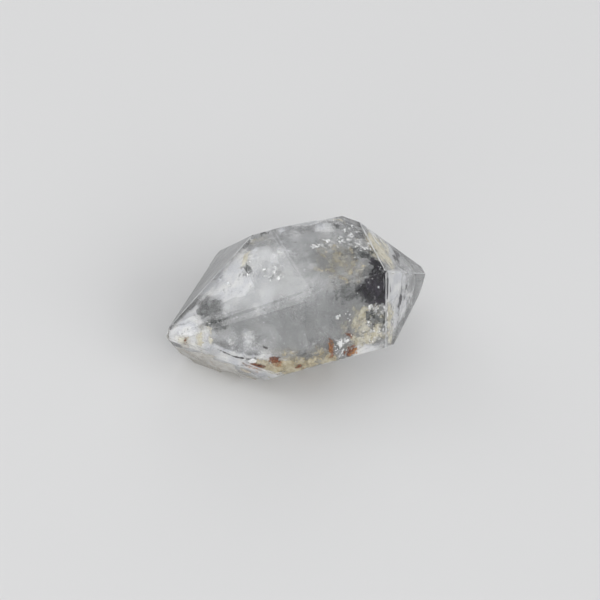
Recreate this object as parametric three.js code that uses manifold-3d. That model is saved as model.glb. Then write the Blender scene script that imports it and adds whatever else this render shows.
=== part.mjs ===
/*
 * Herkimer diamond: one doubly terminated quartz crystal, about 30 mm from tip to tip, lying on a prism face.
 *
 * Six prism faces run along the crystal and six rhombohedron faces close each end. Where it was broken from
 * its rock, low on the front and left, its edges are chipped and its faces are broken in shallow shells. The
 * faces at the back and underneath grew in low ledges, with a few small pits.
 *
 * Frame: millimetres, +Z up. The long axis (quartz's c axis) lies along X. The face that the crystal rests
 * on lies on z = 0, and the origin is under the middle of the crystal's box.
 */
import * as THREE from "three";
import { mergeVertices } from "three/addons/utils/BufferGeometryUtils.js";
import Module from "manifold-3d";

const wasm = await Module();
wasm.setup();

// Driving dimensions, in millimetres and degrees.

// The angle between the right tip's axis and a face's normal: quartz's own angles.
const PRISM_SLOPE = 90;
const RIGHT_SLOPE = 51.8;
const LEFT_SLOPE = 180 - RIGHT_SLOPE;
const SIDE_TURN = 60;

// The sides in order, turning from straight up towards the front. Reach is a face's distance from the middle
// of the crystal. Twist and lean are how far it grew off the ideal face, round the long axis and along it.
const PRISM_FACES = [
  { reach: 8.0, twist: -1.3, lean: 0.6 },
  { reach: 8.7, twist: -2.2, lean: -1.0 },
  { reach: 8.1, twist: 1.5, lean: -1.5 },
  { reach: 7.8, twist: 0, lean: 0 },
  { reach: 9.3, twist: 0, lean: 0 },
  { reach: 7.25, twist: -0.6, lean: -1.3 },
];
const LEFT_FACES = [
  { reach: 7.55, twist: -0.1, lean: 0.1 },
  { reach: 8.35, twist: 0, lean: 0.1 },
  { reach: 10.25, twist: -0.1, lean: -0.1 },
  { reach: 12.9, twist: 0, lean: 0 },
  { reach: 10.5, twist: 0.6, lean: -0.9 },
  { reach: 8.62, twist: -0.3, lean: -2.1 },
];
const RIGHT_FACES = [
  { reach: 10.65, twist: 0.4, lean: -2.0 },
  { reach: 10.85, twist: -0.3, lean: 0.6 },
  { reach: 11.5, twist: 0.9, lean: -2.4 },
  { reach: 8.72, twist: 0.9, lean: -0.5 },
  { reach: 10.1, twist: 0, lean: 0 },
  { reach: 9.1, twist: 1.4, lean: 1.1 },
];

// Sides by their place in the lists above.
const FRONT_LOW = 2;
const UNDER = 3;
const BACK_LOW = 4;
const BACK_HIGH = 5;

// The tips are worn: a small facet across each, at this distance from the middle.
const LEFT_TIP = { reach: 15.4, slope: 172, turn: 150 };
const RIGHT_TIP = { reach: 13.65, slope: 29.5, turn: -2.5 };

// Breaks are shell-shaped, as in glass: shallow hollows that meet in ridges.
const SHELL_STEP = 0.5; // how much the hollows differ in depth, as a share of their relief
const SHELL_GRID = 0.5; // spacing of the points of a break

// Chips have a slightly rough skin.
const CHIP_DETAIL = 8; // rows of triangles on one side of a chip's icosahedron
const HACKLE = 0.015; // how high the roughness stands, as a share of the chip's radius
const GRAINS = 100; // places along the radius that can differ in height

const BLOCK = 60; // larger than the crystal on every side
const MERGE = 1e-4; // corners nearer than this are one corner

// The scattered fractions come from a steep wave, far from a whole number of turns per cell.
const WAVE = { column: 127.1, row: 311.7, seed: 74.7, height: 43758.5 };

const X_AXIS = new THREE.Vector3(1, 0, 0);
const Z_AXIS = new THREE.Vector3(0, 0, 1);

// A closed three.js geometry as a solid that can be cut.
function solidOf(geometry) {
  const bare = geometry.clone();
  bare.deleteAttribute("normal");
  bare.deleteAttribute("uv");
  const merged = mergeVertices(bare, MERGE);
  return new wasm.Manifold(
    new wasm.Mesh({
      numProp: 3,
      vertProperties: merged.attributes.position.array,
      triVerts: new Uint32Array(merged.index.array),
    }),
  );
}

// A solid as a three.js geometry.
function geometryOf(solid) {
  const mesh = solid.getMesh();
  const geometry = new THREE.BufferGeometry();
  geometry.setAttribute("position", new THREE.BufferAttribute(mesh.vertProperties, 3));
  geometry.setIndex(new THREE.BufferAttribute(mesh.triVerts, 1));
  return geometry;
}

// The unit normal of a face that is turned from straight up towards the front, and sloped from the right tip.
function normalAt(turn, slope) {
  const round = THREE.MathUtils.degToRad(turn);
  const tip = THREE.MathUtils.degToRad(slope);
  return new THREE.Vector3(
    Math.cos(tip),
    -Math.sin(round) * Math.sin(tip),
    Math.cos(round) * Math.sin(tip),
  );
}

// The frame of a face: its x runs along the crystal towards the right tip, its z out of the face, and its
// origin is the point of the face nearest the middle of the crystal.
function faceFrame(turn, slope, reach) {
  const out = normalAt(turn, slope);
  const along = X_AXIS.clone().addScaledVector(out, -out.x).normalize();
  const across = new THREE.Vector3().crossVectors(out, along);
  const place = new THREE.Matrix4().makeBasis(along, across, out);
  return place.setPosition(out.multiplyScalar(reach));
}

function frameOf(faces, slope, side) {
  const { reach, twist, lean } = faces[side];
  return faceFrame(side * SIDE_TURN + twist, slope + lean, reach);
}

// Everything outside a face.
function beyond(frame) {
  const block = new THREE.BoxGeometry(BLOCK, BLOCK, BLOCK);
  block.translate(0, 0, BLOCK / 2);
  return solidOf(block.applyMatrix4(frame));
}

// A growth ledge: the face drops by depth past a straight line, which runs at heading to the crystal's
// length, offset from the middle of the face.
function ledge(frame, { heading, offset, depth }) {
  const block = new THREE.BoxGeometry(BLOCK, BLOCK, BLOCK);
  block.translate(BLOCK / 2 + offset, 0, BLOCK / 2 - depth);
  block.rotateZ(THREE.MathUtils.degToRad(heading));
  return solidOf(block.applyMatrix4(frame));
}

// A three-sided growth pit, pointing into the face.
function pit(frame, { at, radius, depth }) {
  const cone = new THREE.ConeGeometry(radius, 2 * depth, 3);
  cone.rotateX(-Math.PI / 2);
  cone.translate(at[0], at[1], 0);
  return solidOf(cone.applyMatrix4(frame));
}

// A fraction from 0 to 1 that looks random but is always the same for the same cell.
function scatter(column, row, seed) {
  const wave = WAVE.height * Math.sin(column * WAVE.column + row * WAVE.row + seed * WAVE.seed);
  return wave - Math.floor(wave);
}

// The height of a shell-shaped break at a place on it: the nearest hollow's bowl.
function shellHeight(x, y, { shell, relief }, seed) {
  const column = Math.floor(x / shell);
  const row = Math.floor(y / shell);
  let lowest = Infinity;
  for (let i = column - 2; i <= column + 2; i += 1) {
    for (let j = row - 2; j <= row + 2; j += 1) {
      const awayX = x / shell - i - scatter(i, j, seed);
      const awayY = y / shell - j - scatter(i, j, seed + 1);
      const floor = SHELL_STEP * scatter(i, j, seed + 2);
      lowest = Math.min(lowest, awayX * awayX + awayY * awayY + floor);
    }
  }
  return relief * lowest;
}

// What broke away from a face: a slab whose inner side is a shell-shaped break. It lies depth under the face
// at its middle and rises out of the face by tilt, turned by heading in the face's plane.
function breakSlab(frame, { at, size, heading, tilt, depth, shell, relief }, seed) {
  const [length, height] = size;
  const columns = Math.round(length / SHELL_GRID);
  const rows = Math.round(height / SHELL_GRID);
  const slab = new THREE.BoxGeometry(length, height, height, columns, rows, 1);
  const points = slab.attributes.position;
  for (let i = 0; i < points.count; i += 1) {
    const outer = points.getZ(i) > 0;
    const z = shellHeight(points.getX(i), points.getY(i), { shell, relief }, seed);
    points.setZ(i, outer ? height : z);
  }
  slab.rotateX(THREE.MathUtils.degToRad(tilt));
  slab.rotateZ(THREE.MathUtils.degToRad(heading));
  slab.translate(at[0], at[1], -depth);
  return solidOf(slab.applyMatrix4(frame));
}

// A chip knocked off an edge: a long ball that runs through the edge. Its place is from the middle of the
// crystal.
function chip({ at, along, radius, length }, seed) {
  const ball = new THREE.IcosahedronGeometry(radius, CHIP_DETAIL);
  const stretch = length / (2 * radius);
  const points = ball.attributes.position;
  const point = new THREE.Vector3();
  for (let i = 0; i < points.count; i += 1) {
    point.fromBufferAttribute(points, i);
    const cell = point.clone().multiplyScalar(GRAINS / radius).round();
    point.multiplyScalar(1 + HACKLE * scatter(cell.x, cell.y, seed + cell.z));
    points.setXYZ(i, point.x, point.y, point.z * stretch);
  }
  const heading = new THREE.Vector3(...along).normalize();
  ball.applyQuaternion(new THREE.Quaternion().setFromUnitVectors(Z_AXIS, heading));
  ball.translate(...at);
  return solidOf(ball);
}

const rings = [
  { faces: PRISM_FACES, slope: PRISM_SLOPE },
  { faces: LEFT_FACES, slope: LEFT_SLOPE },
  { faces: RIGHT_FACES, slope: RIGHT_SLOPE },
];

const frontLowPrism = frameOf(PRISM_FACES, PRISM_SLOPE, FRONT_LOW);
const frontLowLeft = frameOf(LEFT_FACES, LEFT_SLOPE, FRONT_LOW);
const underLeft = frameOf(LEFT_FACES, LEFT_SLOPE, UNDER);
const underRight = frameOf(RIGHT_FACES, RIGHT_SLOPE, UNDER);
const backLowPrism = frameOf(PRISM_FACES, PRISM_SLOPE, BACK_LOW);
const backHighPrism = frameOf(PRISM_FACES, PRISM_SLOPE, BACK_HIGH);
const backLowRight = frameOf(RIGHT_FACES, RIGHT_SLOPE, BACK_LOW);
const backLowLeft = frameOf(LEFT_FACES, LEFT_SLOPE, BACK_LOW);

// Growth ledges, all on the sides that grew against the rock.
const LEDGES = [
  [backLowPrism, { heading: 8, offset: 1.6, depth: 0.16 }],
  [backLowPrism, { heading: 96, offset: 2.3, depth: 0.12 }],
  [backHighPrism, { heading: -14, offset: 3.4, depth: 0.1 }],
  [underRight, { heading: 171, offset: -4.4, depth: 0.14 }],
  [underRight, { heading: 58, offset: 4.6, depth: 0.1 }],
  [backLowRight, { heading: 130, offset: 0.6, depth: 0.12 }],
  [backLowLeft, { heading: 215, offset: 1.2, depth: 0.12 }],
  [frontLowPrism, { heading: -18, offset: 4.6, depth: 0.12 }],
];

const PITS = [
  [backLowPrism, { at: [-1.8, 1.1], radius: 0.42, depth: 0.12 }],
  [backHighPrism, { at: [0.2, -1.3], radius: 0.34, depth: 0.1 }],
  [underRight, { at: [1.6, -1.9], radius: 0.4, depth: 0.12 }],
  [backLowLeft, { at: [0.5, 1.4], radius: 0.3, depth: 0.09 }],
];

// Breaks on the low front faces and at the left end, where the crystal came off its rock.
const PRISM_BREAK = {
  at: [1.2, -3.2],
  size: [17, 8],
  heading: -3,
  tilt: 4,
  depth: 0.32,
  shell: 2.2,
  relief: 0.3,
};
const LEFT_BREAK = {
  at: [-4.4, -3.8],
  size: [13, 7],
  heading: 10,
  tilt: 3.5,
  depth: 0.26,
  shell: 1.9,
  relief: 0.3,
};
const TIP_BREAK = {
  at: [-4.9, -0.3],
  size: [4, 5],
  heading: 0,
  tilt: 0,
  depth: 0.12,
  shell: 1.6,
  relief: 0.25,
};
const BREAKS = [
  [frontLowPrism, PRISM_BREAK],
  [frontLowLeft, LEFT_BREAK],
  [underLeft, TIP_BREAK],
];

// Chips along the lower front edge, from left to right.
const CHIPS = [
  { at: [-10.6, -1.2, -8.3], along: [-0.4, -0.6, 0.7], radius: 0.6, length: 3.0 },
  { at: [-8.15, -3.85, -8.4], along: [-0.42, -0.5, 0.75], radius: 1.65, length: 7.0 },
  { at: [-6.7, -7.3, -9.5], along: [-0.38, -0.51, 0.77], radius: 4.0, length: 11.0 },
  { at: [-6.0, -6.4, -5.55], along: [-0.42, -0.5, 0.75], radius: 0.62, length: 3.6 },
  { at: [3.6, -6.6, -9.4], along: [-0.38, -0.5, 0.78], radius: 3.0, length: 8.0 },
  { at: [6.5, -8.45, -7.4], along: [-0.43, -0.5, 0.75], radius: 3.5, length: 9.0 },
];

let crystal = solidOf(new THREE.BoxGeometry(BLOCK, BLOCK, BLOCK));
for (const { faces, slope } of rings) {
  for (let side = 0; side < faces.length; side += 1) {
    crystal = crystal.subtract(beyond(frameOf(faces, slope, side)));
  }
}
for (const { reach, slope, turn } of [LEFT_TIP, RIGHT_TIP]) {
  crystal = crystal.subtract(beyond(faceFrame(turn, slope, reach)));
}
for (const [frame, step] of LEDGES) {
  crystal = crystal.subtract(ledge(frame, step));
}
for (const [frame, hollow] of PITS) {
  crystal = crystal.subtract(pit(frame, hollow));
}
BREAKS.forEach(([frame, slab], seed) => {
  crystal = crystal.subtract(breakSlab(frame, slab, seed));
});
CHIPS.forEach((flake, seed) => {
  crystal = crystal.subtract(chip(flake, seed));
});

const geometry = geometryOf(crystal);
geometry.computeBoundingBox();
const { min, max } = geometry.boundingBox;
geometry.translate(-(min.x + max.x) / 2, -(min.y + max.y) / 2, -min.z);
geometry.computeVertexNormals();

const quartz = new THREE.MeshStandardMaterial({
  color: 0xc9cccd,
  roughness: 0.05,
  metalness: 0,
  transparent: true,
  opacity: 0.6,
  flatShading: true,
});

const mesh = new THREE.Mesh(geometry, quartz);
mesh.name = "crystal";

const herkimerDiamond = new THREE.Group();
herkimerDiamond.add(mesh);

export default herkimerDiamond;
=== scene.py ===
# A herkimer diamond: one doubly terminated quartz crystal, about 30 mm long, lying on a prism face.
import math
import random
import bmesh
import bpy
from mathutils import Matrix, Vector, noise
from mathutils.bvhtree import BVHTree


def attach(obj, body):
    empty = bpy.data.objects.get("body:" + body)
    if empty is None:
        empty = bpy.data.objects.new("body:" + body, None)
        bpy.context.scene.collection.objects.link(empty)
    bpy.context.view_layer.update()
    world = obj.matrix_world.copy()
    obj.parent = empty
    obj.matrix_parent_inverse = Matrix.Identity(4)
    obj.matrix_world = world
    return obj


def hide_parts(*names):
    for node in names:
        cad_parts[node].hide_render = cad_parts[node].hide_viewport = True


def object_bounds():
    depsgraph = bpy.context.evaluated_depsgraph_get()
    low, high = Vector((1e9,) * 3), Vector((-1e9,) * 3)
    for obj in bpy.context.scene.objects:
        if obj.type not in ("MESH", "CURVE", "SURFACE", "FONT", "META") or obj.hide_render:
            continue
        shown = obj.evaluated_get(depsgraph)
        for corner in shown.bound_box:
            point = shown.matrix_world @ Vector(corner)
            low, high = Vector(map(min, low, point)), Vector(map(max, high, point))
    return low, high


MM = 0.001

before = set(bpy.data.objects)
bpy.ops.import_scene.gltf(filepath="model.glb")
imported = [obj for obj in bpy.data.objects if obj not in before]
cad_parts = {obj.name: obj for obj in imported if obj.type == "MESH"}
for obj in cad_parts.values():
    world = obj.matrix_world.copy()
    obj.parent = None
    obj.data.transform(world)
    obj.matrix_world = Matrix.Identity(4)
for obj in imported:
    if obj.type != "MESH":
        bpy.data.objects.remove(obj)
cad_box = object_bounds()


# The crystal
# One piece of clear to milky quartz, grown freely in a pocket of the rock, so both of its ends have points.
# Its edges are a little worn and white, the white partly wear and partly a painted highlight, and low on the
# front it is broken in shallow, rough shells.

# Each face's distance from the crystal's middle in millimetres, its turn from straight up towards the front,
# and the angle between its normal and the axis of the right tip.
MIDDLE = Vector((0.07, 0.19, 7.8)) * MM
FACES = {
    "top": (8.0, -1.3, 90.6),
    "front": (8.7, 57.8, 89.0),
    "front_low": (8.1, 121.5, 88.5),
    "under": (7.8, 180.0, 90.0),
    "back_low": (9.3, 240.0, 90.0),
    "back": (7.25, 299.4, 88.7),
    "left_top": (7.55, -0.1, 128.3),
    "left_front": (8.35, 60.0, 128.3),
    "left_front_low": (10.25, 119.9, 128.1),
    "left_under": (12.9, 180.0, 128.2),
    "left_back_low": (10.5, 240.6, 127.3),
    "left_back": (8.62, 299.7, 126.1),
    "right_top": (10.65, 0.4, 49.8),
    "right_front": (10.85, 59.7, 52.4),
    "right_front_low": (11.5, 120.9, 49.4),
    "right_under": (8.72, 180.9, 51.3),
    "right_back_low": (10.1, 240.0, 51.8),
    "right_back": (9.1, 301.4, 52.9),
}
# Edges that never were sharp: the faces on both sides pass into each other over this width in millimetres.
SOFT_EDGES = (
    ({"top", "left_top"}, 0.9),
    ({"front", "left_front"}, 0.9),
    ({"left_top", "left_front"}, 0.8),
    ({"top", "front"}, 0.12),
    ({"left_front", "left_front_low"}, 1.8),
    ({"right_front", "right_front_low"}, 0.8),
)
SOFT_STEPS = 6
# Edges that are white from end to end, partly from wear and partly as a painted highlight along the edge.
# Every other edge is white in some parts and whole in others.
HIGHLIT_EDGES = ({"front", "right_front"}, {"left_top", "left_back"}, {"top", "right_top"})
HIGHLIT_WEAR = 0.09 * MM  # half the width of the worn strip
EDGE_WEAR = 0.06 * MM
EDGE_PARTS = 40  # an edge is worn or whole part by part
WEAR_PATCHES = (2.2 * MM, 0.45 * MM)  # the sizes of the worn parts, which lie in groups
RAGGED = 0.035 * MM  # how far the strips' borders stray within the faces
RAGGED_WAVE = 0.4 * MM
RAGGED_SEED = 7
FACE_AREA = 3 * MM * MM  # a natural face is larger, and a facet of a break smaller
FACE_TILT = math.radians(2)  # a natural face lies within this angle of its own direction
FLAT_ANGLE = math.radians(0.6)  # triangles that lie within this angle of each other are one face
BREAK_START, BREAK_SLOPE = -1 * MM, -0.35  # seen from above, the break lies in front of this line
FACE_CREASE, BREAK_CREASE = math.radians(3), math.radians(32)  # flatter edges are shaded smoothly
QUARTZ_IOR = 1.544
QUARTZ_GREY, QUARTZ_DENSITY = 0.5, 6  # how much light the quartz takes on the way through


def outward(face):
    """A face's unit normal."""
    reach, turn, lean = FACES[face]
    turn, lean = math.radians(turn), math.radians(lean)
    return Vector((math.cos(lean), -math.sin(turn) * math.sin(lean), math.cos(turn) * math.sin(lean)))


def face_frame(face):
    """A face's own frame: x along the crystal to the right, z outwards, and the origin nearest the middle."""
    out = outward(face)
    along = (Vector((1, 0, 0)) - out.x * out).normalized()
    axes = Matrix((along, out.cross(along), out)).transposed().to_4x4()
    return Matrix.Translation(MIDDLE + out * FACES[face][0] * MM) @ axes


def named_paint(name):
    """A new material, its node tree and its Principled node."""
    material = bpy.data.materials.new(name)
    material.use_nodes = True
    return material, material.node_tree, material.node_tree.nodes["Principled BSDF"]


def noise_node(tree, vector, scale, detail, distortion=0.0):
    """A noise around 0.5."""
    node = tree.nodes.new("ShaderNodeTexNoise")
    node.inputs["Scale"].default_value = scale
    node.inputs["Detail"].default_value = detail
    node.inputs["Distortion"].default_value = distortion
    tree.links.new(vector, node.inputs["Vector"])
    return node.outputs["Fac"]


def between(tree, value, low, high, to_low=0.0, to_high=1.0):
    """Maps a value from low..high to to_low..to_high, with soft ends."""
    node = tree.nodes.new("ShaderNodeMapRange")
    node.interpolation_type = "SMOOTHSTEP"
    node.inputs["From Min"].default_value = low
    node.inputs["From Max"].default_value = high
    node.inputs["To Min"].default_value = to_low
    node.inputs["To Max"].default_value = to_high
    tree.links.new(value, node.inputs["Value"])
    return node.outputs["Result"]


def mixed(tree, factor, first, second):
    """A colour between two, each a colour or the output of a node."""
    node = tree.nodes.new("ShaderNodeMix")
    node.data_type = "RGBA"
    tree.links.new(factor, node.inputs["Factor"])
    for value, socket in ((first, node.inputs[6]), (second, node.inputs[7])):  # its two colour sockets
        if isinstance(value, tuple):
            socket.default_value = (*value, 1)
        else:
            tree.links.new(value, socket)
    return node.outputs[2]


def bump(tree, height, strength, distance, skin):
    """Gives a skin a fine relief."""
    node = tree.nodes.new("ShaderNodeBump")
    node.inputs["Strength"].default_value = strength
    node.inputs["Distance"].default_value = distance
    tree.links.new(height, node.inputs["Height"])
    tree.links.new(node.outputs["Normal"], skin.inputs["Normal"])


def see_through(tree, skin, transmission):
    """Makes a skin quartz: light passes, a little is lost on the way, and lamps shine in."""
    skin.inputs["IOR"].default_value = QUARTZ_IOR
    skin.inputs["Transmission Weight"].default_value = transmission
    out = tree.nodes["Material Output"]
    absorb = tree.nodes.new("ShaderNodeVolumeAbsorption")
    absorb.inputs["Color"].default_value = (QUARTZ_GREY, QUARTZ_GREY, QUARTZ_GREY, 1)
    absorb.inputs["Density"].default_value = QUARTZ_DENSITY
    tree.links.new(absorb.outputs["Volume"], out.inputs["Volume"])
    clear = tree.nodes.new("ShaderNodeBsdfTransparent")
    ray = tree.nodes.new("ShaderNodeLightPath")
    either = tree.nodes.new("ShaderNodeMixShader")
    tree.links.new(ray.outputs["Is Shadow Ray"], either.inputs["Fac"])
    tree.links.new(skin.outputs["BSDF"], either.inputs[1])
    tree.links.new(clear.outputs["BSDF"], either.inputs[2])
    tree.links.new(either.outputs["Shader"], out.inputs["Surface"])


# The faces are as smooth as glass.
quartz, tree, skin = named_paint("quartz_face")
place = tree.nodes.new("ShaderNodeTexCoord").outputs["Object"]
cloudy = noise_node(tree, place, 220, 4, 0.5)
tree.links.new(mixed(tree, cloudy, (0.87, 0.875, 0.88), (0.94, 0.945, 0.945)), skin.inputs["Base Color"])
skin.inputs["Roughness"].default_value = 0.05
see_through(tree, skin, 0.99)
bump(tree, noise_node(tree, place, 700, 3), 0.12, 0.04 * MM, skin)

# The worn edges are crushed to white grains, and their white is also a painted highlight along the edges.
worn_highlit_quartz, tree, skin = named_paint("quartz_worn_highlit")
place = tree.nodes.new("ShaderNodeTexCoord").outputs["Object"]
grain_and_highlight = between(tree, noise_node(tree, place, 900, 5, 0.4), 0.38, 0.62)
tree.links.new(mixed(tree, grain_and_highlight, (0.66, 0.67, 0.67), (0.98, 0.98, 0.985)), skin.inputs["Base Color"])
skin.inputs["Roughness"].default_value = 0.22
see_through(tree, skin, 0.45)
bump(tree, noise_node(tree, place, 2600, 4, 0.3), 0.35, 0.05 * MM, skin)

# The break is cream-white and rough, with ochre and rust in it. Both stains are strong where the crystal
# stood on its rock, and weak at the left tip.
broken_quartz, tree, skin = named_paint("quartz_broken")
place = tree.nodes.new("ShaderNodeTexCoord").outputs["Object"]
grainy = between(tree, noise_node(tree, place, 1300, 5, 0.3), 0.35, 0.65)
rock = mixed(tree, grainy, (0.78, 0.76, 0.70), (0.99, 0.97, 0.925))
apart = tree.nodes.new("ShaderNodeSeparateXYZ")
tree.links.new(place, apart.inputs["Vector"])
near_rock = between(tree, apart.outputs["X"], -9.5 * MM, -6.5 * MM, 0.25, 1.0)
for colour, spots in (
    ((0.55, 0.45, 0.28), between(tree, noise_node(tree, place, 420, 4, 0.5), 0.40, 0.62)),
    ((0.30, 0.09, 0.03), between(tree, noise_node(tree, place, 700, 5, 0.2), 0.60, 0.70)),
):
    stain = tree.nodes.new("ShaderNodeMath")
    stain.operation = "MULTIPLY"
    tree.links.new(spots, stain.inputs[0])
    tree.links.new(near_rock, stain.inputs[1])
    rock = mixed(tree, stain.outputs[0], rock, colour)
tree.links.new(rock, skin.inputs["Base Color"])
skin.inputs["Roughness"].default_value = 0.22
see_through(tree, skin, 0.56)
bump(tree, noise_node(tree, place, 2200, 5, 0.3), 0.5, 0.08 * MM, skin)

# The face at the back of the left tip grew in steps, so that fine lines run along it. Its dark grey colour
# and lower transmission are painted shade on this one face.
striped_shaded_quartz, tree, skin = named_paint("quartz_striped_shaded")
place = tree.nodes.new("ShaderNodeTexCoord").outputs["Object"]
along_edge = outward("left_top").cross(outward("left_back")).normalized()
stretched = tree.nodes.new("ShaderNodeCombineXYZ")
for axis, way in (("X", outward("left_back").cross(along_edge)), ("Y", 0.05 * along_edge)):
    part = tree.nodes.new("ShaderNodeVectorMath")
    part.operation = "DOT_PRODUCT"
    part.inputs[1].default_value = way
    tree.links.new(place, part.inputs[0])
    tree.links.new(part.outputs["Value"], stretched.inputs[axis])
lines = noise_node(tree, stretched.outputs["Vector"], 1400, 4)
stripes = between(tree, lines, 0.3, 0.7)
# Painted shade: this face's colour is dark grey, far darker than the other faces.
tree.links.new(mixed(tree, stripes, (0.24, 0.245, 0.25), (0.42, 0.425, 0.43)), skin.inputs["Base Color"])
skin.inputs["Roughness"].default_value = 0.15
see_through(tree, skin, 0.55)
bump(tree, lines, 0.4, 0.06 * MM, skin)

# The solid's triangles are joined to whole faces.
shape = bmesh.new()
shape.from_mesh(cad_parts["crystal"].data)
bmesh.ops.remove_doubles(shape, verts=shape.verts, dist=0.001 * MM)
bmesh.ops.dissolve_limit(shape, angle_limit=FLAT_ANGLE, verts=shape.verts, edges=shape.edges)


def face_name(face):
    """Which of the crystal's faces a mesh face belongs to, or none if it is a facet of a break or a strip."""
    if face.calc_area() < FACE_AREA:
        return None
    nearest = max(FACES, key=lambda name: outward(name).dot(face.normal))
    return nearest if outward(nearest).dot(face.normal) > math.cos(FACE_TILT) else None


def edges_between(pair=None):
    """The edges where two natural faces meet, of one pair of faces or of all."""
    found = []
    for edge in shape.edges:
        names = {face_name(face) for face in edge.link_faces}
        if None not in names and len(names) == 2 and (pair is None or names == pair):
            found.append(edge)
    return found


def rounded(edges, width, steps):
    """Rounds edges off and gives the faces of the new strips."""
    made = bmesh.ops.bevel(
        shape, geom=edges, offset=width, offset_type="OFFSET", segments=steps, profile=0.5,
        affect="EDGES", clamp_overlap=False, material=-1,
    )
    shape.normal_update()
    return made["faces"]


PAINTS = (quartz, worn_highlit_quartz, broken_quartz, striped_shaded_quartz)
WHOLE, WORN_HIGHLIT, BROKEN, STRIPED_SHADED = range(len(PAINTS))
for face in shape.faces:
    spot = face.calc_center_median()
    if face_name(face) == "left_back":
        face.material_index = STRIPED_SHADED
    elif face_name(face) is None and spot.y < BREAK_START + BREAK_SLOPE * spot.x:
        face.material_index = BROKEN
    else:
        face.material_index = WHOLE
for pair, width in SOFT_EDGES:
    for face in rounded(edges_between(pair), width * MM, SOFT_STEPS):
        face.material_index = WHOLE
bmesh.ops.subdivide_edges(shape, edges=edges_between(), cuts=EDGE_PARTS - 1)
strips = []
# White strips: worn grains, and also painted highlights along the edges.
for pair in HIGHLIT_EDGES:
    strips += rounded(edges_between(pair), HIGHLIT_WEAR, 3)
for face in strips:
    face.material_index = WORN_HIGHLIT
for face in rounded(edges_between(), EDGE_WEAR, 3):
    spot = face.calc_center_median()
    face.material_index = WORN_HIGHLIT if sum(noise.noise(spot / patch) for patch in WEAR_PATCHES) > 0 else WHOLE
    strips.append(face)

# The worn strips are ragged: each vertex is shifted within the largest face beside it, but not past the
# solid's reach.
worn = {vert for face in strips if face.is_valid for vert in face.verts}
noise.seed_set(RAGGED_SEED)
shifts = []
for vert in shape.verts:
    if vert in worn:
        normal = max(vert.link_faces, key=lambda face: face.calc_area()).normal
        shift = noise.noise_vector(vert.co / RAGGED_WAVE) * RAGGED
        shifts.append((vert, shift - shift.dot(normal) * normal))
for vert, shift in shifts:
    vert.co += shift
for vert in shape.verts:
    vert.co = [min(max(value, low), high) for value, low, high in zip(vert.co, *cad_box)]

for face in shape.faces:
    face.smooth = True
    if face_name(face) and face.material_index == BROKEN:
        face.material_index = WHOLE
for edge in shape.edges:
    by_face = any(face_name(face) for face in edge.link_faces)
    edge.smooth = edge.calc_face_angle(0) < (FACE_CREASE if by_face else BREAK_CREASE)
# The bevels leave the faces in no fixed order, so they are put into one.
shape.faces.sort(key=lambda face: face.calc_center_median().dot(Vector((1.0, 3.1, 7.7))))
surface = BVHTree.FromBMesh(shape)
mesh = bpy.data.meshes.new("quartz_crystal")
shape.to_mesh(mesh)
shape.free()
for paint in PAINTS:
    mesh.materials.append(paint)
crystal = bpy.data.objects.new("quartz_crystal", mesh)
bpy.context.scene.collection.objects.link(crystal)
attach(crystal, "root")
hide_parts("crystal")


# The milky clouds
# Tiny bubbles of the water that the crystal grew in. They lie in thin, waved shells that follow the faces as
# they once stood, one inside the other, and each shell is thinner along its edges.

SHEET_CELLS = 20
SHEET_MARGIN = 0.12  # how deep a sheet is under the surface at least, in millimetres
SHEET_IOR = 1.2  # a low one, so that a sheet hardly shines inside the quartz


def wisps_group():
    """The node group of every cloudy sheet here: a mask that is thick, thin or gone from place to place."""
    group = bpy.data.node_groups.new("wisps", "ShaderNodeTree")
    for name, kind in (
        ("Vector", "NodeSocketVector"),
        ("Scale", "NodeSocketFloat"),
        ("Thickness", "NodeSocketFloat"),
        ("Contrast", "NodeSocketFloat"),
        ("Most", "NodeSocketFloat"),
    ):
        group.interface.new_socket(name, in_out="INPUT", socket_type=kind)
    group.interface.new_socket("Mask", in_out="OUTPUT", socket_type="NodeSocketFloat")
    given = group.nodes.new("NodeGroupInput")
    found = group.nodes.new("NodeGroupOutput")
    cloud = group.nodes.new("ShaderNodeTexNoise")
    cloud.inputs["Detail"].default_value = 7
    cloud.inputs["Roughness"].default_value = 0.66
    cloud.inputs["Distortion"].default_value = 0.25
    group.links.new(given.outputs["Vector"], cloud.inputs["Vector"])
    group.links.new(given.outputs["Scale"], cloud.inputs["Scale"])
    around_zero = group.nodes.new("ShaderNodeMath")
    around_zero.operation = "SUBTRACT"
    around_zero.inputs[1].default_value = 0.5
    group.links.new(cloud.outputs["Fac"], around_zero.inputs[0])
    cloud_here = group.nodes.new("ShaderNodeMath")
    cloud_here.operation = "MULTIPLY_ADD"
    group.links.new(around_zero.outputs[0], cloud_here.inputs[0])
    group.links.new(given.outputs["Contrast"], cloud_here.inputs[1])
    group.links.new(given.outputs["Thickness"], cloud_here.inputs[2])
    ramp = group.nodes.new("ShaderNodeMapRange")
    ramp.interpolation_type = "SMOOTHSTEP"
    ramp.inputs["From Min"].default_value = 0.25
    ramp.inputs["From Max"].default_value = 0.75
    group.links.new(cloud_here.outputs[0], ramp.inputs["Value"])
    group.links.new(given.outputs["Most"], ramp.inputs["To Max"])
    group.links.new(ramp.outputs["Result"], found.inputs["Mask"])
    return group


wisps = wisps_group()


def sheet_skin(name, most, scale, contrast):
    """A material that a sheet's thickness and a cloudy mask make opaque, thin or clear."""
    material, tree, skin = named_paint(name)
    place = tree.nodes.new("ShaderNodeTexCoord").outputs["Object"]
    thickness = tree.nodes.new("ShaderNodeAttribute")
    thickness.attribute_name = "thickness"
    mask = tree.nodes.new("ShaderNodeGroup")
    mask.node_tree = wisps
    tree.links.new(place, mask.inputs["Vector"])
    tree.links.new(thickness.outputs["Fac"], mask.inputs["Thickness"])
    for socket, value in (("Scale", scale), ("Contrast", contrast), ("Most", most)):
        mask.inputs[socket].default_value = value
    tree.links.new(mask.outputs["Mask"], skin.inputs["Alpha"])
    skin.inputs["IOR"].default_value = SHEET_IOR
    return material, tree, skin, place


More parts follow.
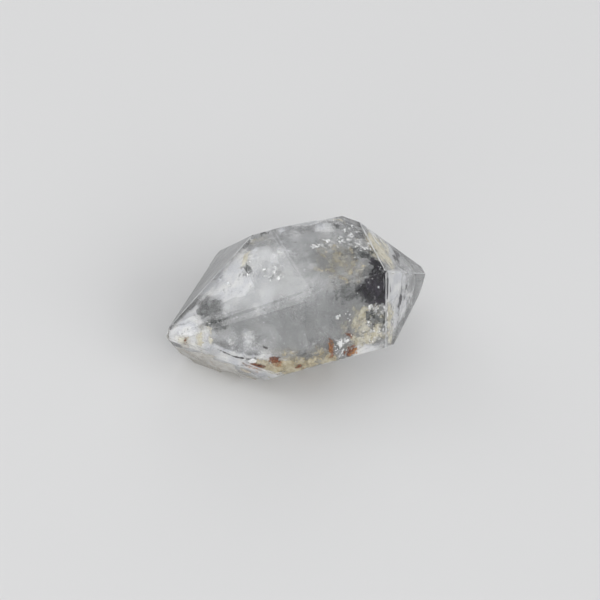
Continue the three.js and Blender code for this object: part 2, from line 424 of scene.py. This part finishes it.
def cloud_paint(name, thin, thick, scale, contrast, most, roughness=0.7):
    """A cloudy sheet of two colours, one blotched over the other."""
    material, tree, skin, place = sheet_skin(name, most, scale, contrast)
    shade = between(tree, noise_node(tree, place, scale * 1.7, 4, 0.4), 0.35, 0.65)
    tree.links.new(mixed(tree, shade, thin, thick), skin.inputs["Base Color"])
    skin.inputs["Roughness"].default_value = roughness
    return material


def shard_paint(name, dark, light, cells, scale, contrast, most, roughness=0.4):
    """A sheet that broke into flat shards, each of its own shade between two colours."""
    material, tree, skin, place = sheet_skin(name, most, scale, contrast)
    shards = tree.nodes.new("ShaderNodeTexVoronoi")
    shards.inputs["Scale"].default_value = cells
    tree.links.new(place, shards.inputs["Vector"])
    apart = tree.nodes.new("ShaderNodeSeparateColor")
    tree.links.new(shards.outputs["Color"], apart.inputs["Color"])
    shade = between(tree, apart.outputs["Red"], 0.25, 0.85)
    tree.links.new(mixed(tree, shade, dark, light), skin.inputs["Base Color"])
    skin.inputs["Roughness"].default_value = roughness
    return material


def new_sheets():
    """An empty shape whose vertices have a thickness."""
    shape = bmesh.new()
    shape.verts.layers.float.new("thickness")
    return shape


def add_sheet(shape, rest, size, wave, dense, seed):
    """Adds a waved sheet, its sizes in millimetres, that is as thick as dense says in its middle."""
    thickness = shape.verts.layers.float["thickness"]
    sheet = bmesh.ops.create_grid(shape, x_segments=SHEET_CELLS, y_segments=SHEET_CELLS, size=1.0)
    for vert in sheet["verts"]:
        x, y = vert.co.x, vert.co.y
        vert[thickness] = dense * (1 - x * x) * (1 - y * y)
        sway = noise.noise(Vector((1.7 * x, 1.7 * y, seed)))
        vert.co = rest @ (Vector((x * size[0] / 2, y * size[1] / 2, wave * sway)) * MM)


def finish_sheets(shape, name, paint):
    """Cuts sheets off at the crystal's faces, presses them in where it is broken, and makes them a piece."""
    for face, (reach, _, _) in FACES.items():
        bmesh.ops.bisect_plane(
            shape,
            geom=shape.verts[:] + shape.edges[:] + shape.faces[:],
            plane_co=MIDDLE + outward(face) * (reach - SHEET_MARGIN) * MM,
            plane_no=outward(face),
            clear_outer=True,
        )
    for vert in shape.verts:
        spot, normal, _, _ = surface.find_nearest(vert.co)
        if (vert.co - spot).dot(normal) > -SHEET_MARGIN * MM:
            vert.co = spot - normal * SHEET_MARGIN * MM
    finish_piece(shape, name, paint)


def finish_piece(shape, name, paint):
    """Makes a shape a piece of the crystal's body."""
    mesh = bpy.data.meshes.new(name)
    shape.to_mesh(mesh)
    shape.free()
    for polygon in mesh.polygons:
        polygon.use_smooth = True
    mesh.materials.append(paint)
    piece = bpy.data.objects.new(name, mesh)
    bpy.context.scene.collection.objects.link(piece)
    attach(piece, "root")


# The clouds follow the faces as they stood at these depths in millimetres, and fade out towards their edges.
ZONE_DEPTHS = (0.8, 1.7, 2.7, 3.8, 5.0)
ZONE_EDGE = 14  # the higher, the sharper are a zone's edges
ZONE_FADE = 0.15
FLAT_EDGE = math.cos(math.radians(45))  # over a flatter edge than this the clouds go on
ZONE_SWELL = 0.06  # how far a zone swells and sinks, as a share of its size

shape = new_sheets()
thickness = shape.verts.layers.float["thickness"]
normals = {name: outward(name) for name in FACES}
for number, depth in enumerate(ZONE_DEPTHS):
    ball = bmesh.ops.create_icosphere(shape, subdivisions=5, radius=1.0)
    for vert in ball["verts"]:
        way = vert.co.normalized()
        nearness = {name: max(0.0, way.dot(normals[name])) / (FACES[name][0] - depth) for name in FACES}
        reach = sum(near ** ZONE_EDGE for near in nearness.values()) ** (-1 / ZONE_EDGE)
        first = max(nearness, key=nearness.get)
        next_near = max(nearness[name] for name in FACES if normals[name].dot(normals[first]) < FLAT_EDGE)
        swell = 1 + ZONE_SWELL * noise.noise(way * 4 + Vector((0, 0, 10 * number)))
        vert.co = MIDDLE + way * reach * swell * MM
        vert[thickness] = 0.5 + 0.3 * min(1.0, (1 - next_near / nearness[first]) / ZONE_FADE)
milk = cloud_paint("milky_cloud", (0.55, 0.56, 0.565), (0.78, 0.785, 0.785), 260, 2.2, 0.38)
finish_piece(shape, "milky_clouds", milk)


# The pale veils
# Cracks that opened while the crystal grew and healed again, full of tiny bubbles, so that they look white.
# They run a little under the faces. Where a crack didn't heal, it broke into bright and dark shards.

WAVE_SHIFT = 3.7  # so that each sheet of a piece is waved in its own way


def under_face(face, at, depth, heading=0.0):
    """The place of a sheet under a face, in millimetres and degrees."""
    return (
        face_frame(face)
        @ Matrix.Translation(Vector((at[0], at[1], -depth)) * MM)
        @ Matrix.Rotation(math.radians(heading), 4, "Z")
    )


def veil_piece(name, veils, paint):
    """A piece with one sheet for each row of a table."""
    shape = new_sheets()
    for number, (face, at, size, depth, heading, wave, dense) in enumerate(veils):
        add_sheet(shape, under_face(face, at, depth, heading), size, wave, dense, WAVE_SHIFT * number)
    finish_sheets(shape, name, paint)


FAR_FACES = (
    "back", "back_low", "under", "left_under", "left_back", "left_back_low",
    "right_under", "right_back", "right_back_low", "right_front_low",
)


def far_veils(seed, count, size, dense):
    """Scattered veils under each face of the back and the underside."""
    rng = random.Random(seed)
    veils = []
    for face in FAR_FACES:
        for _ in range(count):
            at = (rng.uniform(-5, 5), rng.uniform(-2.5, 2.5))
            extent = (size * rng.uniform(0.7, 1.3), size * rng.uniform(0.3, 0.9))
            veils.append((face, at, extent, rng.uniform(0.3, 1.6), rng.uniform(0, 180), 0.5, dense))
    return tuple(veils)


# Each row: face, place along and across it, size, depth, heading, wave, thickness.
PALE_VEILS = (
    ("left_front", (-10.9, -2.0), (4.6, 4.8), 0.7, 97, 0.2, 1.1),
    ("left_front", (-10.4, -1.6), (4.8, 5.0), 1.2, 60, 0.3, 1.1),
    ("left_front", (-9.0, -2.2), (5.6, 4.4), 0.6, 91, 0.3, 0.9),
    ("left_front", (-8.4, -1.8), (1.4, 5.4), 0.3, 4, 0.1, 0.6),
    ("left_front", (-10.0, -2.2), (2.0, 5.8), 0.3, -6, 0.1, 0.55),
    ("left_front", (-8.0, -3.6), (4.6, 3.0), 0.7, 150, 0.3, 1.1),
    ("left_front", (-5.6, -4.3), (6.0, 2.4), 0.5, -8, 0.2, 0.9),
    ("left_top", (-10.2, 0.2), (5.0, 3.6), 0.6, 0, 0.2, 1.2),
    ("left_top", (-4.2, 1.8), (9.5, 7.0), 0.8, 20, 0.4, 1.1),
    ("left_top", (-2.0, 2.4), (8.0, 5.0), 1.1, -10, 0.4, 1.0),
    ("left_top", (-2.4, -0.6), (8.0, 6.0), 1.3, 50, 0.4, 1.0),
    ("left_top", (1.4, 0.6), (5.0, 5.0), 1.2, 0, 0.4, 0.55),
    ("top", (3.6, 3.0), (9.0, 3.4), 0.8, 0, 0.3, 0.4),
    ("top", (-1.4, 3.0), (7.0, 3.6), 0.8, 0, 0.3, 0.45),
    ("right_front", (2.4, 2.1), (5.2, 4.4), 0.4, 12, 0.2, 1.6),
    ("right_front", (2.2, 1.0), (7.0, 7.0), 1.0, 60, 0.3, 1.4),
    ("right_top", (2.3, 0.8), (3.6, 1.6), 0.3, 92, 0.1, 1.1),
    ("right_top", (3.4, 0.0), (6.0, 6.0), 0.8, 0, 0.3, 1.1),
    ("front", (4.6, -4.5), (7.0, 2.2), 0.35, 0, 0.1, 0.75),
    ("front_low", (-6.4, 1.6), (7.0, 5.0), 0.4, 0, 0.2, 0.9),
    ("front_low", (0.0, -0.6), (12.0, 5.0), 0.5, 0, 0.2, 1.0),
    ("left_front_low", (-2.0, 0.0), (14.0, 5.0), 0.4, 0, 0.2, 1.6),
    ("left_front_low", (-5.0, -0.6), (11.0, 4.0), 0.2, 20, 0.1, 1.8),
    ("left_front", (-4.0, -4.6), (12.0, 2.6), 0.7, 0, 0.2, 1.1),
    ("right_front", (3.0, -0.6), (7.0, 7.0), 0.5, 0, 0.2, 0.85),
    ("left_front", (-3.2, -2.4), (7.6, 5.0), 0.6, 10, 0.3, 0.55),
    ("right_front", (3.8, 0.0), (10.0, 9.0), 0.6, 0, 0.2, 0.65),
    ("right_front", (2.2, 2.4), (5.4, 4.2), 0.25, 0, 0.1, 2.0),
)
pale = cloud_paint("pale_veil", (0.74, 0.75, 0.78), (0.92, 0.92, 0.91), 480, 1.8, 0.7)
veil_piece("pale_veils", PALE_VEILS + far_veils(1, 3, 7, 0.9), pale)

SHARD_VEILS = (
    ("top", (2.4, 0.3), (6.0, 1.4), 0.4, -6, 0.3, 0.7),
    ("top", (5.2, 0.8), (3.0, 1.8), 0.5, 45, 0.3, 0.55),
    ("top", (5.9, -0.9), (3.2, 1.8), 0.35, -20, 0.2, 0.7),
    ("front", (0.8, -3.6), (3.1, 2.9), 0.5, 10, 0.3, 0.8),
    ("front", (5.3, -1.4), (4.0, 4.6), 0.5, 0, 0.3, 0.7),
    ("left_front", (-8.6, 0.3), (2.4, 1.6), 0.35, 20, 0.3, 0.7),
    ("left_top", (0.3, -0.4), (2.0, 2.8), 0.4, 60, 0.3, 0.5),
    ("left_top", (-2.2, 1.9), (2.4, 2.0), 0.4, 60, 0.3, 0.5),
    ("right_front", (1.5, -1.6), (5.0, 2.0), 0.45, 84, 0.2, 0.5),
    ("right_top", (3.2, 0.6), (4.0, 2.4), 0.4, 70, 0.2, 0.6),
    ("left_front", (-3.6, -4.6), (4.6, 1.4), 0.5, 0, 0.2, 0.6),
)
shards = shard_paint("pale_shards", (0.25, 0.255, 0.25), (0.98, 0.98, 0.98), 2600, 1900, 4.5, 0.9)
veil_piece("pale_shards", SHARD_VEILS + far_veils(2, 2, 4, 0.65), shards)

# Specks: single bubbles and grains of dirt, strewn under every face that is seen from above. Each face has a
# sheet of them, so thin that only its densest grains show.
SPECKLED_FACES = ("top", "front", "left_top", "left_front", "right_top", "right_front")
SPECK_DEPTH = 0.3
for name, dark, light, scale, contrast, most in (
    ("pale_specks", (0.80, 0.81, 0.82), (0.97, 0.97, 0.97), 3800, 3.0, 0.65),
    ("dark_specks", (0.10, 0.10, 0.10), (0.24, 0.23, 0.22), 3000, 3.0, 0.6),
):
    shape = new_sheets()
    for number, face in enumerate(SPECKLED_FACES):
        add_sheet(shape, under_face(face, (0, 0), SPECK_DEPTH), (24, 14), 0.2, 0.05, scale + number)
    finish_sheets(shape, name, cloud_paint(name, dark, light, scale, contrast, most))


# The stained veils
# Cracks that reached the surface, and let in water with a little iron. It dried to a yellow and ochre film.

STAINED_VEILS = (
    ("top", (2.9, -2.4), (6.6, 5.6), 0.8, 74, 0.4, 0.45),
    ("front", (3.9, -1.4), (7.4, 6.2), 0.8, -18, 0.4, 0.7),
    ("front", (4.4, -1.4), (5.4, 5.4), 0.5, -18, 0.4, 0.75),
    ("front", (3.2, -3.4), (4.8, 3.2), 0.6, 0, 0.2, 0.7),
    ("right_top", (1.8, -1.1), (7.4, 4.0), 0.3, 88, 0.1, 0.95),
    ("right_top", (2.2, -0.6), (7.4, 5.0), 0.6, 60, 0.1, 0.85),
    ("right_front", (1.1, -1.6), (7.4, 2.4), 0.4, 84, 0.1, 0.8),
    ("left_front", (-11.0, -2.8), (2.4, 2.2), 0.4, 0, 0.1, 0.9),
    ("left_front", (-8.0, -1.6), (0.9, 4.6), 0.35, 0, 0.1, 0.7),
    ("left_front", (-9.2, -2.4), (4.2, 5.0), 0.4, 0, 0.1, 0.42),
)
yellow = cloud_paint("yellow_stain", (0.64, 0.58, 0.41), (0.91, 0.87, 0.73), 800, 2.4, 0.66)
veil_piece("stained_veils", STAINED_VEILS + far_veils(3, 1, 4, 0.75), yellow)

OCHRE_VEILS = (
    ("top", (2.7, -2.5), (8.6, 6.8), 0.6, 74, 0.4, 0.52),
    ("left_front_low", (2.5, 0.2), (7.0, 3.0), 0.3, 0, 0.1, 0.9),
    ("front", (-1.4, -4.6), (4.8, 2.2), 0.35, 4, 0.1, 0.85),
    ("front", (-2.0, -3.8), (4.4, 3.0), 0.6, 10, 0.2, 0.6),
    ("left_front", (2.6, -4.5), (5.6, 2.6), 0.5, 0, 0.1, 0.75),
    ("left_front", (0.4, -3.9), (6.0, 3.2), 0.7, 0, 0.2, 0.55),
    ("front_low", (-1.5, 0.6), (9.0, 3.0), 0.5, 0, 0.2, 1.2),
    ("left_front", (-1.6, -4.9), (4.6, 2.2), 0.35, 0, 0.1, 1.2),
    ("left_front", (0.8, -5.0), (5.0, 2.4), 0.4, 0, 0.1, 1.1),
    ("left_front_low", (-3.5, -1.6), (8.0, 2.4), 0.4, 20, 0.1, 0.7),
)
ochre = cloud_paint("ochre_stain", (0.42, 0.35, 0.20), (0.70, 0.63, 0.45), 1000, 2.2, 0.62)
veil_piece("ochre_veils", OCHRE_VEILS, ochre)


# The dark cracks
# Open cracks that mirror the dark side of the room, so that they look black, violet or grey; that dark look
# is painted into the sheets' colours as a painted reflection.

# Painted reflection: black-violet shards for cracks that mirror the dark room.
VIOLET_REFLECTION_CRACKS = (
    ("front", (5.6, 2.3), (3.8, 4.0), 0.4, 0, 0.2, 2.2),
    ("front", (6.1, 2.6), (2.4, 3.8), 0.3, 0, 0.1, 1.8),
    ("front", (5.8, 2.4), (3.4, 3.6), 0.9, 20, 0.1, 2.0),
    ("front", (4.2, 2.7), (3.4, 2.0), 0.45, -14, 0.1, 0.9),
    ("front", (6.7, 2.2), (1.4, 4.2), 0.16, 0, 0.0, 2.4),
    ("top", (6.4, -3.9), (2.4, 1.2), 0.35, 121, 0.1, 1.3),
    ("top", (6.3, -4.2), (1.9, 1.3), 0.3, 61, 0.1, 1.2),
    ("right_top", (5.3, -1.0), (3.8, 1.4), 0.3, 48, 0.1, 0.85),
    ("right_front", (5.5, 0.2), (3.4, 0.6), 0.3, 55, 0.1, 0.8),
    ("right_front", (4.0, -0.4), (4.2, 1.0), 0.3, 65, 0.1, 0.85),
)
REFLECTED_BLACK_VIOLET, REFLECTED_VIOLET = (0.002, 0.001, 0.004), (0.018, 0.013, 0.024)
violet_reflection_paint = shard_paint("violet_reflection_cracks", REFLECTED_BLACK_VIOLET, REFLECTED_VIOLET, 1800, 1500, 3.6, 0.98, 0.3)
veil_piece("violet_reflection_cracks", VIOLET_REFLECTION_CRACKS, violet_reflection_paint)

# Painted reflection: grey to near-black shards for cracks that mirror the dark room.
GREY_REFLECTION_CRACKS = (
    ("top", (5.6, -1.9), (4.2, 2.8), 0.5, -41, 0.2, 0.75),
    ("front", (2.6, 2.5), (6.4, 2.8), 0.8, -4, 0.2, 0.65),
    ("left_front", (-7.8, 0.8), (3.9, 3.2), 0.3, -10, 0.1, 1.6),
    ("left_front", (-7.9, 0.9), (2.8, 2.2), 0.5, 20, 0.1, 1.6),
    ("left_top", (-7.8, 0.3), (3.2, 1.8), 0.3, -12, 0.1, 1.5),
    ("left_top", (-2.0, 1.8), (1.7, 0.8), 0.3, 95, 0.1, 1.0),
    ("front", (5.6, -1.2), (2.8, 2.4), 0.45, 30, 0.2, 0.75),
    ("front", (4.4, -0.2), (2.4, 2.0), 0.45, 30, 0.2, 0.65),
)
grey_reflection_paint = shard_paint("grey_reflection_cracks", (0.03, 0.034, 0.033), (0.19, 0.20, 0.195), 2200, 1500, 3.6, 0.82, 0.3)
veil_piece("grey_reflection_cracks", GREY_REFLECTION_CRACKS + far_veils(4, 1, 3, 0.9), grey_reflection_paint)

# Painted reflection: wide, thin, dark grey sheets under the front, top and left faces, which grey the crystal
# as the mirrored dark room would.
DARK_REFLECTION_HAZE = (
    ("front", (-0.6, 0.4), (14.0, 9.0), 0.6, 0, 0.3, 1.1),
    ("left_front", (-4.0, 0.0), (9.0, 8.0), 0.6, 0, 0.3, 0.7),
    ("left_front", (1.4, 0.0), (8.0, 9.0), 0.5, 0, 0.2, 0.8),
    ("top", (0.6, -1.0), (9.0, 9.0), 0.7, 0, 0.3, 0.6),
    ("front", (3.0, 2.6), (7.4, 3.4), 0.5, -4, 0.2, 0.7),
    ("top", (2.6, -2.3), (5.6, 4.4), 0.4, 20, 0.2, 1.3),
    ("left_front", (-7.7, 0.6), (4.6, 4.0), 0.35, 0, 0.1, 1.6),
    ("left_top", (-7.7, 0.2), (3.8, 2.8), 0.3, 0, 0.1, 1.5),
)
dark_haze_paint = cloud_paint("painted_dark_haze", (0.16, 0.165, 0.165), (0.24, 0.245, 0.24), 300, 1.2, 0.31)
veil_piece("painted_dark_haze", DARK_REFLECTION_HAZE, dark_haze_paint)

# Painted reflection: thin near-black lines for cracks whose dark look is painted into their colour.
HAIRLINES = (
    ("left_front", (-6.3, -3.6), (2.2, 0.22), 0.25, -24, 0.1, 0.9),
    ("left_front", (-4.7, -4.1), (2.4, 0.25), 0.25, -6, 0.1, 1.0),
    ("left_front", (-3.6, -5.0), (2.8, 0.25), 0.25, 6, 0.1, 1.2),
    ("front", (-5.8, -0.9), (1.7, 0.5), 0.25, 23, 0.1, 1.1),
    ("front", (-5.6, -2.2), (2.4, 0.35), 0.25, -49, 0.1, 1.2),
    ("left_front", (-1.9, -2.7), (0.9, 0.35), 0.25, -20, 0.1, 1.2),
)
hairline_dark_reflection = cloud_paint("hairline_dark_reflection", (0.02, 0.018, 0.02), (0.10, 0.09, 0.09), 3000, 3.5, 0.9, 0.4)
veil_piece("hairline_reflection_cracks", HAIRLINES, hairline_dark_reflection)


# The rust
# Iron oxide that filled the hollows where the crystal stood on its rock: thin crusts, orange where they are
# thin and red-brown to black where they are thick.

RUST = (
    ("front", (-0.4, -3.3), (2.8, 0.9), 0.35, 94, 0.1, 0.95),
    ("front", (2.1, -4.1), (2.1, 1.4), 0.3, 26, 0.1, 0.95),
    ("front", (1.9, -2.2), (1.4, 0.8), 0.4, -30, 0.1, 0.6),
    ("left_front", (-0.9, -4.1), (1.5, 0.9), 0.22, 0, 0.1, 1.3),
    ("left_front", (-3.4, -5.0), (3.0, 0.8), 0.15, 4, 0.1, 1.7),
    ("left_front", (1.9, -4.7), (1.2, 0.6), 0.25, 0, 0.1, 1.0),
    ("left_front", (-10.8, -2.65), (1.9, 0.7), 0.3, 89, 0.1, 0.42),
)
rust = cloud_paint("rust", (0.28, 0.08, 0.02), (0.045, 0.012, 0.006), 3200, 4.5, 0.95, 0.8)
veil_piece("rust", RUST, rust)

ORANGE_RUST = (
    ("left_front_low", (-1.8, 1.2), (3.4, 1.8), 0.25, 84, 0.1, 0.9),
    ("left_front", (-3.6, -5.4), (2.8, 0.8), 0.25, 0, 0.1, 0.9),
    ("front", (2.3, -4.3), (1.4, 0.8), 0.25, 20, 0.1, 0.9),
    ("front", (-0.4, -3.4), (2.4, 0.8), 0.3, 94, 0.1, 0.6),
    ("left_front", (-0.7, -4.5), (1.6, 0.8), 0.25, 0, 0.1, 0.7),
)
orange = cloud_paint("orange_rust", (0.40, 0.15, 0.04), (0.66, 0.35, 0.13), 3200, 5.0, 0.6, 0.8)
veil_piece("orange_rust", ORANGE_RUST, orange)


# The glints
# Small flat bubbles and flakes of cracks, which flash white where they mirror the light; the flash is
# painted, as near-white flakes turned towards the lamps.

GLINT_PLACES = (
    # face, along, across, depth, spread, how many, size
    ("left_top", 0.7, 0.2, 0.3, 0.12, 4, 0.26),
    ("left_top", -0.5, -1.0, 0.3, 0.12, 4, 0.22),
    ("left_top", -0.2, -0.6, 0.4, 0.6, 8, 0.10),
    ("left_top", -4.6, 1.7, 0.3, 0.10, 3, 0.24),
    ("top", 5.1, 1.8, 0.3, 0.12, 4, 0.30),
    ("top", 6.1, 1.9, 0.3, 0.05, 2, 0.30),
    ("top", 5.5, 0.9, 0.3, 0.08, 2, 0.30),
    ("top", 4.9, 1.4, 0.3, 0.10, 2, 0.24),
    ("top", 3.9, 0.6, 0.3, 0.08, 2, 0.22),
    ("top", 3.8, 0.1, 0.3, 0.08, 2, 0.26),
    ("top", 1.5, 0.4, 0.3, 0.12, 3, 0.24),
    ("top", 0.5, 0.2, 0.3, 0.12, 3, 0.24),
    ("top", 2.3, 0.2, 0.3, 0.40, 5, 0.16),
    ("top", 4.6, 0.9, 0.3, 0.8, 10, 0.10),
    ("top", 5.6, -1.5, 0.25, 0.35, 8, 0.15),
    ("top", 4.5, -2.6, 0.25, 0.25, 4, 0.15),
    ("top", 6.3, -4.3, 0.22, 0.15, 3, 0.18),
    ("front", 5.7, 2.6, 0.2, 0.06, 3, 0.26),
    ("front", 0.7, 0.3, 0.3, 0.14, 6, 0.46),
    ("front", 1.9, 0.0, 0.3, 0.25, 6, 0.20),
    ("front", 0.8, -3.6, 0.35, 0.7, 24, 0.16),
    ("front", 4.5, -3.5, 0.3, 0.10, 3, 0.30),
    ("front", 5.2, -1.5, 0.35, 1.0, 14, 0.12),
    ("right_front", 2.0, 0.3, 0.25, 0.10, 3, 0.26),
    ("right_top", 2.4, 1.2, 0.25, 0.5, 10, 0.24),
    ("left_front", -7.9, -2.0, 0.3, 0.06, 2, 0.26),
    ("left_front", -8.7, 0.2, 0.3, 0.5, 8, 0.16),
)
GLINT_MARGIN = 0.15  # how deep a glint is under the surface at least, in millimetres
GLINT_TILT = 0.35  # how much each is turned away from the light
TOWARDS_LIGHT = Vector((-0.4, -0.4, 0.83)).normalized()
rng = random.Random(11)
shape = new_sheets()
for face, along, across, depth, spread, count, size in GLINT_PLACES:
    for _ in range(count):
        at = (rng.gauss(along, spread), rng.gauss(across, spread), -depth * rng.uniform(0.8, 1.6))
        spot = face_frame(face) @ (Vector(at) * MM)
        nearest, normal, _, _ = surface.find_nearest(spot)
        if (spot - nearest).dot(normal) > -GLINT_MARGIN * MM:
            continue
        aside = Vector((rng.gauss(0, 1), rng.gauss(0, 1), rng.gauss(0, 1)))
        tilt = (TOWARDS_LIGHT + GLINT_TILT * aside).normalized()
        flat = Matrix.Diagonal((rng.uniform(0.5, 1.4), rng.uniform(0.4, 1.0), 0.25, 1))
        rest = (
            Matrix.Translation(spot)
            @ tilt.to_track_quat("Z", "Y").to_matrix().to_4x4()
            @ Matrix.Rotation(rng.uniform(0, math.pi), 4, "Z")
            @ flat
        )
        radius = size / 2 * rng.uniform(0.6, 1.2) * MM
        bmesh.ops.create_icosphere(shape, subdivisions=1, radius=radius, matrix=rest)
# Painted highlight: the flakes are near-white whatever light falls on them.
painted_glint, tree, skin = named_paint("painted_glint")
place = tree.nodes.new("ShaderNodeTexCoord").outputs["Object"]
glint_tone = between(tree, noise_node(tree, place, 3000, 3), 0.4, 0.6)
tree.links.new(mixed(tree, glint_tone, (0.90, 0.91, 0.94), (0.99, 0.985, 0.97)), skin.inputs["Base Color"])
skin.inputs["Roughness"].default_value = 0.3
finish_piece(shape, "painted_glints", painted_glint)


# The floor, the light and the camera
# A plain pale matte floor under a soft sky. Six large square lamps stand around the crystal, more of them on
# the left and in front, so that no side is dark.

FLOOR_SIZE = 4.0
floor_paint, tree, skin = named_paint("pale_floor")
skin.inputs["Base Color"].default_value = (0.66, 0.66, 0.655, 1)
skin.inputs["Roughness"].default_value = 0.9
shape = bmesh.new()
bmesh.ops.create_grid(shape, x_segments=1, y_segments=1, size=FLOOR_SIZE / 2)
mesh = bpy.data.meshes.new("floor")
shape.to_mesh(mesh)
shape.free()
mesh.materials.append(floor_paint)
floor = bpy.data.objects.new("floor", mesh)
bpy.context.scene.collection.objects.link(floor)


def soft_lamp(name, towards, distance, size, power):
    """A square lamp that shines on the crystal from a direction."""
    data = bpy.data.lights.new(name, "AREA")
    data.shape = "SQUARE"
    data.size = size
    data.energy = power
    lamp = bpy.data.objects.new(name, data)
    bpy.context.scene.collection.objects.link(lamp)
    way = Vector(towards).normalized()
    lamp.rotation_mode = "QUATERNION"
    lamp.rotation_quaternion = way.to_track_quat("Z", "Y")
    lamp.location = way * distance


soft_lamp("lamp_behind_left", (-0.635, 0.509, 0.581), 1.0, 0.5, 1.0)
soft_lamp("lamp_above_left", (-0.6, -0.02, 0.8), 1.2, 0.6, 2.8)
soft_lamp("lamp_front", (0.1, -0.8, 0.6), 1.3, 0.8, 2.8)
soft_lamp("lamp_low_left", (-0.75, -0.65, 0.38), 1.3, 0.8, 3.0)
soft_lamp("lamp_behind_right", (0.6, 0.75, 0.4), 1.3, 0.8, 1.6)
soft_lamp("lamp_right", (0.75, -0.6, 0.66), 1.3, 0.8, 3.1)

sky = bpy.data.worlds.new("sky")
sky.use_nodes = True
sky.node_tree.nodes["Background"].inputs["Color"].default_value = (0.97, 0.975, 1.0, 1)
sky.node_tree.nodes["Background"].inputs["Strength"].default_value = 0.6
bpy.context.scene.world = sky

VIEW_WIDTH = 66 * MM
LENS = 300.0
SENSOR = 36.0
AZIMUTH = math.radians(-39.18)
ELEVATION = math.radians(48.97)
ROLL = math.radians(18.68)
OFF_CENTRE = 0.44 * MM  # the crystal's middle is this far to the left of the view's middle, and above it
turn = (
    Matrix.Rotation(AZIMUTH, 4, "Z")
    @ Matrix.Rotation(math.radians(90) - ELEVATION, 4, "X")
    @ Matrix.Rotation(ROLL, 4, "Z")
)
camera = bpy.data.objects.new("camera", bpy.data.cameras.new("camera"))
camera.data.lens = LENS
camera.data.sensor_width = SENSOR
camera.data.clip_start = 0.01
camera.data.clip_end = 20
step_back = turn @ Vector((OFF_CENTRE, -OFF_CENTRE, VIEW_WIDTH * LENS / SENSOR))
camera.matrix_world = Matrix.Translation(MIDDLE + step_back) @ turn
bpy.context.scene.collection.objects.link(camera)
bpy.context.scene.camera = camera

settings = bpy.context.scene.cycles
settings.use_denoising = True
settings.max_bounces = 16
settings.transmission_bounces = 14
settings.transparent_max_bounces = 32
bpy.context.scene.view_settings.view_transform = "Standard"
